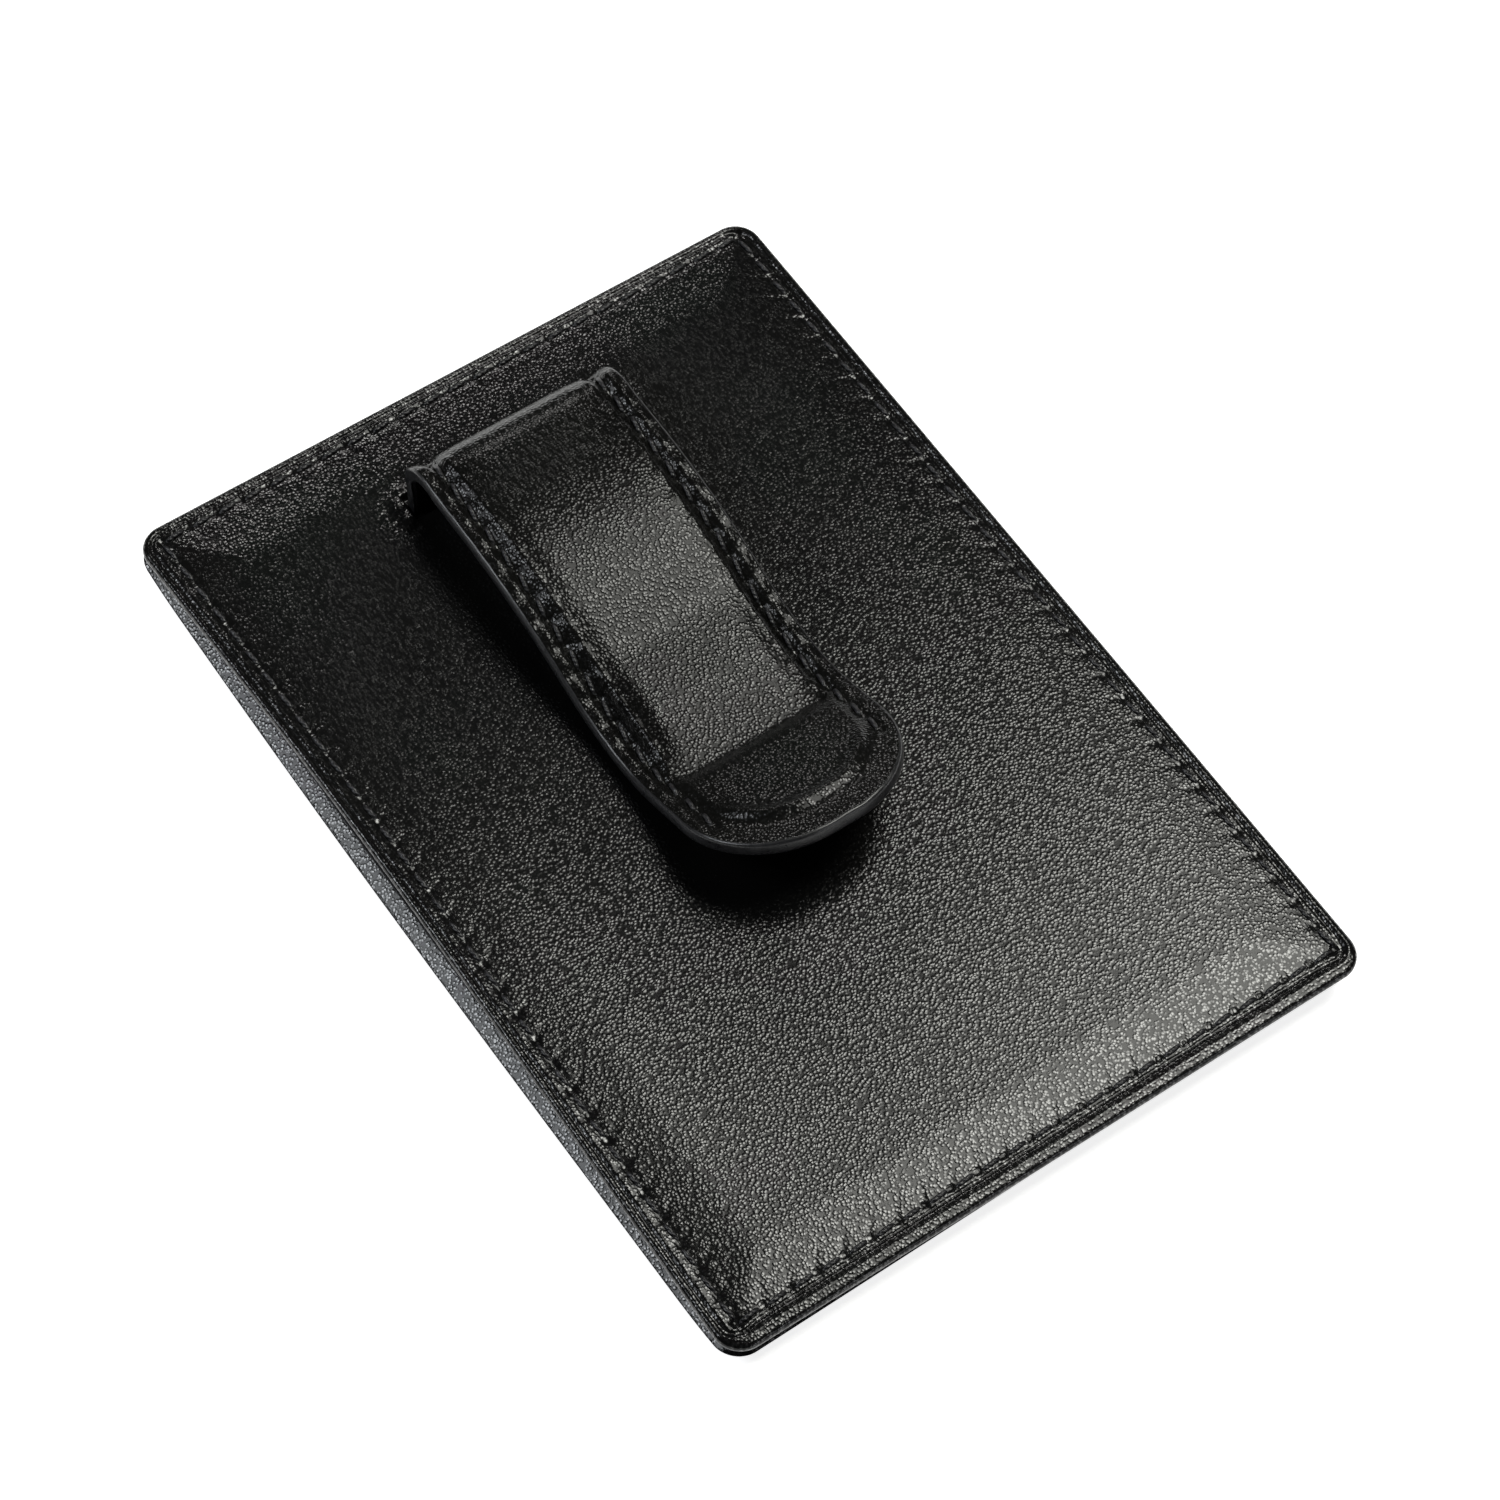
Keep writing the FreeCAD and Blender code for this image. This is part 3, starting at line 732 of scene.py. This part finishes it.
def noise(tree, vector, scale, detail=2.0, output="Fac"):
    node = tree.nodes.new("ShaderNodeTexNoise")
    node.inputs["Scale"].default_value = scale
    node.inputs["Detail"].default_value = detail
    tree.links.new(vector, node.inputs["Vector"])
    return node.outputs[output]


def bands(tree, vector, direction, scale, distortion=0.0):
    node = tree.nodes.new("ShaderNodeTexWave")
    node.bands_direction = direction
    node.inputs["Scale"].default_value = scale
    node.inputs["Distortion"].default_value = distortion
    tree.links.new(vector, node.inputs["Vector"])
    return node.outputs["Fac"]


def add_bump(tree, height, distance, normal=None):
    node = tree.nodes.new("ShaderNodeBump")
    node.inputs["Distance"].default_value = distance * MM
    node.inputs["Strength"].default_value = 1.0
    tree.links.new(height, node.inputs["Height"])
    if normal is not None:
        tree.links.new(normal, node.inputs["Normal"])
    return node.outputs["Normal"]


def grain_cells(tree, space):
    """Distance from the middle of the nearest pebble, with the pebbles pushed about so none is regular."""
    warp = tree.nodes.new("ShaderNodeVectorMath")
    warp.operation = "MULTIPLY_ADD"
    tree.links.new(noise(tree, space, 1.1, output="Color"), warp.inputs[0])
    warp.inputs[1].default_value = grey(0.30)
    tree.links.new(space, warp.inputs[2])
    cells = tree.nodes.new("ShaderNodeTexVoronoi")
    cells.inputs["Scale"].default_value = CELLS_PER_MM
    tree.links.new(warp.outputs["Vector"], cells.inputs["Vector"])
    return cells.outputs["Distance"]


def leather(name, depth, tones, roughness, shine):
    """Black calf: pebbles that reflect less in the creases between them, with slow changes of tone."""
    material, tree, surface = new_material(name)
    space = object_space(tree)
    cells = grain_cells(tree, space)
    domes = ramp(tree, cells, [(0.0, grey(1)), (0.25, grey(0.80)), (0.70, grey(0))])
    fine = noise(tree, space, 4.5)
    broad = noise(tree, space, 0.09)
    normal = add_bump(tree, domes, depth)
    wiring = {
        "Specular IOR Level": ramp(tree, cells, [(0.15, grey(shine)), (0.55, grey(0.22 * shine))]),
        "Base Color": ramp(tree, broad, [(0.3, tones[0]), (0.7, tones[1])]),
        "Roughness": ramp(tree, fine, [(0.25, grey(roughness[0])), (0.75, grey(roughness[1]))]),
        "Normal": add_bump(tree, fine, depth * 0.14, normal),
    }
    for socket, value in wiring.items():
        tree.links.new(value, surface.inputs[socket])
    return material


def edge_paint():
    """Satin paint on the cut edges of the clip's leather."""
    material, tree, surface = new_material("edge_paint")
    mottle = noise(tree, object_space(tree), 1.4, 3.0)
    colour = ramp(tree, mottle, [(0.3, (0.008, 0.008, 0.009)), (0.7, (0.013, 0.013, 0.014))])
    tree.links.new(colour, surface.inputs["Base Color"])
    gloss = ramp(tree, mottle, [(0.3, grey(0.26)), (0.7, grey(0.36))])
    tree.links.new(gloss, surface.inputs["Roughness"])
    tree.links.new(add_bump(tree, mottle, 0.02), surface.inputs["Normal"])
    return material


def thread():
    """Waxed black thread with its ply twist."""
    material, tree, surface = new_material("black_thread")
    ply = bands(tree, object_space(tree), "DIAGONAL", 0.9, 0.6)
    # The ply bands also set the colour: darker in the grooves between the plies, which is painted shade.
    colour = ramp(tree, ply, [(0.2, (0.006, 0.006, 0.007)), (0.8, (0.020, 0.020, 0.022))])
    tree.links.new(colour, surface.inputs["Base Color"])
    tree.links.new(add_bump(tree, ply, 0.05), surface.inputs["Normal"])
    surface.inputs["Roughness"].default_value = 0.38
    return material


def woven(name, dark, light, scale):
    """Plain-weave pocket cloth."""
    material, tree, surface = new_material(name)
    space = object_space(tree)
    weave = tree.nodes.new("ShaderNodeMath")
    weave.operation = "MULTIPLY"
    for i, direction in enumerate("XY"):
        tree.links.new(bands(tree, space, direction, scale), weave.inputs[i])
    # The weave also sets the colour: darker where the threads lie low between the crossings, which is painted
    # shade.
    colour = ramp(tree, weave.outputs["Value"], [(0.1, dark), (0.8, light)])
    tree.links.new(colour, surface.inputs["Base Color"])
    tree.links.new(add_bump(tree, weave.outputs["Value"], 0.06), surface.inputs["Normal"])
    surface.inputs["Roughness"].default_value = 0.75
    return material


def card_board():
    material, tree, surface = new_material("stiffener_board")
    fibres = noise(tree, object_space(tree), 2.4, 5.0)
    colour = ramp(tree, fibres, [(0.3, (0.10, 0.08, 0.06)), (0.7, (0.17, 0.14, 0.11))])
    tree.links.new(colour, surface.inputs["Base Color"])
    tree.links.new(add_bump(tree, fibres, 0.05), surface.inputs["Normal"])
    surface.inputs["Roughness"].default_value = 0.85
    return material


def bare_steel(name, tint):
    material, tree, surface = new_material(name)
    brushed = noise(tree, object_space(tree), 3.0, 4.0)
    colour = ramp(tree, brushed, [(0.3, tint), (0.7, tuple(c * 1.15 for c in tint))])
    tree.links.new(colour, surface.inputs["Base Color"])
    gloss = ramp(tree, brushed, [(0.3, grey(0.28)), (0.7, grey(0.42))])
    tree.links.new(gloss, surface.inputs["Roughness"])
    surface.inputs["Metallic"].default_value = 1.0
    return material


def floor_material():
    material, _, surface = new_material("pale_floor")
    surface.inputs["Base Color"].default_value = (*grey(0.92), 1)
    surface.inputs["Roughness"].default_value = 0.9
    surface.inputs["Specular IOR Level"].default_value = 0.1
    surface.inputs["Emission Color"].default_value = (*grey(1), 1)
    surface.inputs["Emission Strength"].default_value = 0.78
    return material


# ---------------------------------------------------------------- stage
def add_camera():
    data = bpy.data.cameras.new("camera")
    data.sensor_width = CAMERA_SENSOR
    data.lens = CAMERA_LENS
    data.clip_start, data.clip_end = 0.01, 10.0
    camera = bpy.data.objects.new("camera", data)
    bpy.context.scene.collection.objects.link(camera)
    camera.location = Vector(CAMERA_PLACE) * MM
    look = (Vector(CAMERA_AIM) * MM - camera.location).to_track_quat("-Z", "Y")
    camera.rotation_mode = "QUATERNION"
    camera.rotation_quaternion = look @ Quaternion((0, 0, 1), math.radians(CAMERA_TILT))
    bpy.context.scene.camera = camera


def add_lamp(name, towards, distance, size, power, colour):
    """A soft square panel in the given direction from the case, facing it."""
    data = bpy.data.lights.new(name, "AREA")
    data.size = size * MM
    data.energy = power
    data.color = colour
    lamp = bpy.data.objects.new(name, data)
    bpy.context.scene.collection.objects.link(lamp)
    direction = Vector(towards).normalized()
    lamp.location = direction * distance * MM
    lamp.rotation_mode = "QUATERNION"
    lamp.rotation_quaternion = direction.to_track_quat("Z", "Y")


def add_world():
    """A dim white light from all round, and a pale backdrop where the camera sees past the floor."""
    world = bpy.data.worlds.new("studio")
    world.use_nodes = True
    tree = world.node_tree
    dim = tree.nodes["Background"]
    dim.inputs["Color"].default_value = (*grey(1), 1)
    dim.inputs["Strength"].default_value = WORLD_STRENGTH
    backdrop = tree.nodes.new("ShaderNodeBackground")
    mix = tree.nodes.new("ShaderNodeMixShader")
    rays = tree.nodes.new("ShaderNodeLightPath")
    tree.links.new(rays.outputs["Is Camera Ray"], mix.inputs["Fac"])
    tree.links.new(dim.outputs["Background"], mix.inputs[1])
    tree.links.new(backdrop.outputs["Background"], mix.inputs[2])
    tree.links.new(mix.outputs["Shader"], tree.nodes["World Output"].inputs["Surface"])
    bpy.context.scene.world = world


def add_stage():
    corners = [(-1, -1, 0), (1, -1, 0), (1, 1, 0), (-1, 1, 0)]
    floor = new_object("floor", np.array(corners) * FLOOR_HALF, [(0, 1, 2, 3)], [floor_material()])
    add_world()
    for lamp in LAMPS:
        add_lamp(*lamp)
    bpy.context.scene.view_settings.view_transform = "Standard"


# ---------------------------------------------------------------- the case's pieces
def back_panel(skin):
    """The back's outer leather: creased, sewn, turned over the edge of its board and folded in."""
    slit_sides = [(-13.5, -10.8, 0.2), (10.8, 13.5, 0.2)]
    xs = graded(-HALF_W, HALF_W, 0.32, [(-36, -32.4, 0.16), (32.6, 36, 0.16)] + slit_sides)
    ys = graded(-HALF_L, HALF_L, 0.32, [(-51.2, -47.2, 0.16), (48.0, 51.2, 0.16), (37.6, 42.4, 0.15)])
    rings = [
        (BACK_EDGE_R * 0.55, Z_TOP - 0.09),
        (BACK_EDGE_R * 0.2, Z_TOP - 0.24),
        (0.0, Z_TOP - BACK_EDGE_R),
        (0.0, Z_BACK_FOLD + 0.45),
        (BACK_EDGE_R * 0.25, Z_BACK_FOLD + 0.16),
        (BACK_EDGE_R, Z_BACK_FOLD),
        (TURN_IN - 0.2, Z_BACK_FOLD),
        (TURN_IN, Z_BACK_BOARD - 0.1),
        (TURN_IN - 0.2, Z_BACK_BOARD - 2 * CLEAR),
        (BACK_WALL + 0.05, Z_BACK_BOARD - 2 * CLEAR),
        (BACK_WALL, Z_BACK - 0.1),
        (BACK_WALL + 0.1, Z_BACK + 2 * CLEAR),
    ]
    top = (BACK_EDGE_R, lambda x, y: Z_TOP + back_relief(x, y))
    bottom = (BACK_WALL + 1.0, Z_BACK + 2 * CLEAR)
    piece = shell("back_leather_skin", Outline(xs, ys, (CORNER_R,) * 4), top, rings, bottom, settle, [skin])
    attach(piece, "case")
    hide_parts("back_leather")


def front_panel(skin):
    """The front's outer leather, whose edge slopes down and out from the lining to the face below."""
    xs = graded(-HALF_W, HALF_W, 0.5, [(-36, -32.4, 0.16)])
    ys = graded(-HALF_L, HALF_L, 0.33, [(-51.2, -47.2, 0.2), (48.0, 51.2, 0.2)])
    rings = []
    for i in range(1, FRONT_ROLL_STEPS + 1):
        t = i / FRONT_ROLL_STEPS
        rings.append((FRONT_ROLL * (1 - t) + 0.12 * t, Z_FRONT_LINING - FRONT_FALL * t ** 1.15))
    rings += [
        (0.02, Z_FRONT_LINING - FRONT_FALL - 0.10),
        (0.0, Z_FRONT + 0.22),
        (0.07, Z_FRONT + 0.07),
        (0.24, Z_FRONT),
    ]
    face = (FRONT_FACE_INSET, lambda x, y: Z_FRONT + front_relief(x, y))
    piece = shell("front_leather_skin", Outline(xs, ys, (CORNER_R,) * 4), (FRONT_ROLL, Z_FRONT_LINING), rings,
                  face, settle, [skin], coarse=1)
    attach(piece, "case")
    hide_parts("front_leather")


def pocket_leather(node, x0, x1, z, closed_r, skin):
    """A strip or the leaf of the card pockets, creased along its mouth."""
    def relief(x, y):
        return POCKET_CREASE * bump_at(x - x0 - POCKET_CREASE_IN, 0.2) - rows_relief(x, y) * 0.8

    radii = (SQUARE_R, closed_r, SQUARE_R, closed_r)
    piece = slab(node + "_skin", x0, x1, HALF_L - LEAF_INSET, z, z + LEAF_T, radii, skin, relief, step=0.5)
    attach(piece, "case")
    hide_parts(node)


def pocket_cloth(name, x0, x1, z, cloth):
    """The cloth of a card pocket, under its leather."""
    low, high = z + LEAF_T + CLEAR / 2, z + LEAF_T + CLOTH_T - CLEAR / 2
    piece = slab(name + "_pocket_cloth_sheet", x0, x1, CLOTH_HALF_L, low, high, (SQUARE_R,) * 4, cloth,
                 step=1.2)
    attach(piece, "case")
    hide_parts(name + "_pocket_cloth")


def pocket_layers(skin, cloth):
    """The two strips and the leaf of the card pockets, and their cloths."""
    for name, x in MOUTHS.items():
        node, x_end, cloth_end, closed_r = name + "_pocket_strip", x + STRIP_W, x + SLOT_DEPTH, SQUARE_R
        if name == "front":
            node, x_end, cloth_end = "front_pocket_leaf", HALF_W - LEAF_INSET, LEAF_CLOTH_END
            closed_r = CORNER_R - LEAF_INSET
        pocket_leather(node, x, x_end, POCKET_LEVELS[name], closed_r, skin)
        pocket_cloth(name, x + CLOTH_LAP, cloth_end, POCKET_LEVELS[name], cloth)


def linings(lining):
    half_w, half_l = HALF_W - LINING_INSET, HALF_L - LINING_INSET
    radii = (CORNER_R - LINING_INSET,) * 4
    for name, z in (("front_lining", Z_FRONT_LINING), ("back_lining", Z_BACK_LINING)):
        piece = slab(name + "_sheet", -half_w, half_w, half_l, z + CLEAR, z + LINING_T - CLEAR, radii, lining,
                     step=0.8)
        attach(piece, "case")
        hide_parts(name)


def boards(board):
    """One sheet stands for both stiffener boards, which the leather hides."""
    inset = BACK_WALL + 0.12
    half_w, half_l = HALF_W - inset, HALF_L - inset
    piece = slab("back_board_sheet", -half_w, half_w, half_l, Z_BACK_BOARD, Z_BACK - 2 * CLEAR,
                 (CORNER_R - inset,) * 4, board, step=0.8)
    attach(piece, "case")
    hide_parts("back_board", "front_board")


def back_thread_level(x, y):
    x, y = np.array(x), np.array(y)
    return float(Z_TOP + leg_bulge(x, y) - THREAD_SINK + crown(x, y))


def front_thread_level(x, y):
    """The stitches on the card side lie on the lowest layer there is at their x."""
    layers = [name for name, mouth in MOUTHS.items() if x > mouth]
    return (POCKET_LEVELS[layers[-1]] if layers else Z_FRONT) + 0.10


def case_stitches(material):
    corners = [(ROW_OPEN, ROW_FAR), (ROW_CLOSED, ROW_FAR), (ROW_CLOSED, ROW_BEND), (ROW_OPEN, ROW_BEND)]
    for side, level, lift in (("back", back_thread_level, 1.0), ("front", front_thread_level, -1.0)):
        closed = [row(*corners[i], *corners[i + 1], level) for i in range(3)]
        open_row = row(*corners[0], *corners[3], level)
        seam = rods(side + "_seam_thread", closed, settle, lift, material)
        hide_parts(side + "_seam_stitches")
        mouth = rods(side + "_mouth_thread", [open_row], settle, lift, material)
        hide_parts(side + "_mouth_stitches")
        for piece in (seam, mouth):
            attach(piece, "case")


# ---------------------------------------------------------------- the clip's pieces
def top_cover_rings():
    """The top cover's edge, with the paint that wraps over the cut edges of both covers."""
    return [
        (CLIP_EDGE_R * 0.5, MARGIN_T - 0.05),
        (CLIP_EDGE_R * 0.1, MARGIN_T - 0.18),
        (0.0, 0.35),
        (0.0, 0.0),
        (0.0, -0.35),
        (CLIP_EDGE_R * 0.1, 0.20 - MARGIN_T),
        (PAINT_WRAP - 0.04, 0.13 - MARGIN_T),
        (PAINT_WRAP, CLEAR, "sharp"),
    ]


def under_cover_rings(inset):
    return [
        (inset + CLIP_EDGE_R * 0.5, 0.05 - MARGIN_T),
        (inset + CLIP_EDGE_R * 0.1, 0.18 - MARGIN_T),
        (inset, -0.35),
        (inset, -CLEAR),
    ]


def clip_leathers(skin, paint):
    """The two covers of the spring, painted where they are cut and glued together at the edge."""
    us = graded(-CLIP_HALF_W, CLIP_HALF_W, 0.4, [(-11.5, -7.4, 0.17), (7.4, 11.5, 0.17)])
    ss = graded(0.0, CLIP_END, 0.28, [(S_FOLD - 1.5, S_FOLD + 1.5, 0.16)])
    outline = Outline(us, ss, (0.2, 0.2, TOE_R, TOE_R))
    margin = CLIP_HALF_W - STEEL_HALF_W
    hidden = PAINT_WRAP + 2 * CLEAR
    covers = ((1, "top", clip_top_level, 0.0, top_cover_rings()),
              (-1, "under", clip_under_level, hidden, under_cover_rings(hidden)))
    for side, name, level, edge, rings in covers:
        rings.append((margin - 0.4, CLEAR * side, "sharp"))
        inner = (margin - 0.15, (STEEL_HALF_T + CLEAR) * side)
        piece = shell("clip_%s_leather" % name, outline, (edge + CLIP_EDGE_R, level), rings, inner,
                      clip_place, [skin, paint], rim_material=1)
        if side < 0:
            piece.data.flip_normals()
        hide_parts("clip_%s_leather_base" % name, "clip_%s_leather_arm" % name)
        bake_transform(piece)


def top_thread_level(u, s):
    """The threads lie a little above the bottom of the trough that they pull."""
    u, s = np.array(u), np.array(s)
    return float(clip_top_level(u, s) - 0.3 * clip_row_relief(u, s))


def under_thread_level(u, s):
    u, s = np.array(u), np.array(s)
    return float(clip_under_level(u, s) + 0.3 * UNDER_RELIEF * clip_row_relief(u, s))


def clip_stitches(material):
    """On each face of the arm, a row on each side of the steel."""
    for name, level, lift in (("top", top_thread_level, 1.0), ("under", under_thread_level, -1.0)):
        rows = [row(x, CLIP_ROW_START, x, CLIP_ROW_END, level) for x in (-CLIP_ROW_X, CLIP_ROW_X)]
        piece = rods("clip_%s_thread" % name, rows, clip_place, lift, material, slant=0.2)
        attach(piece, "clip_arm")
        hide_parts("clip_%s_stitches" % name)


def carried_nodes(frame, finishes):
    """CAD nodes that keep their shape get their finish: the spring, the rivets and the inner stitches."""
    for node, material in finishes.items():
        mesh = frame["nodes"][node].data
        mesh.materials.clear()
        mesh.materials.append(material)


def main():
    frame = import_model()
    add_camera()
    add_stage()
    case_skin = leather("case_calf", **CASE_CALF)
    clip_skin = leather("clip_calf", **CLIP_CALF)
    sewing = thread()
    back_panel(case_skin)
    front_panel(case_skin)
    pocket_layers(case_skin, woven("pocket_weave", (0.008, 0.008, 0.009), (0.03, 0.03, 0.033), 0.9))
    linings(woven("lining_weave", (0.006, 0.006, 0.007), (0.022, 0.022, 0.024), 0.7))
    boards(card_board())
    case_stitches(sewing)
    clip_leathers(clip_skin, edge_paint())
    clip_stitches(sewing)
    steel = bare_steel("spring_steel", (0.45, 0.46, 0.48))
    carried_nodes(frame, {"clip_spring_leg": steel, "clip_spring_arm": steel, "slot_stitches": sewing,
                          "clip_rivets": bare_steel("rivet_metal", (0.55, 0.54, 0.50))})


main()
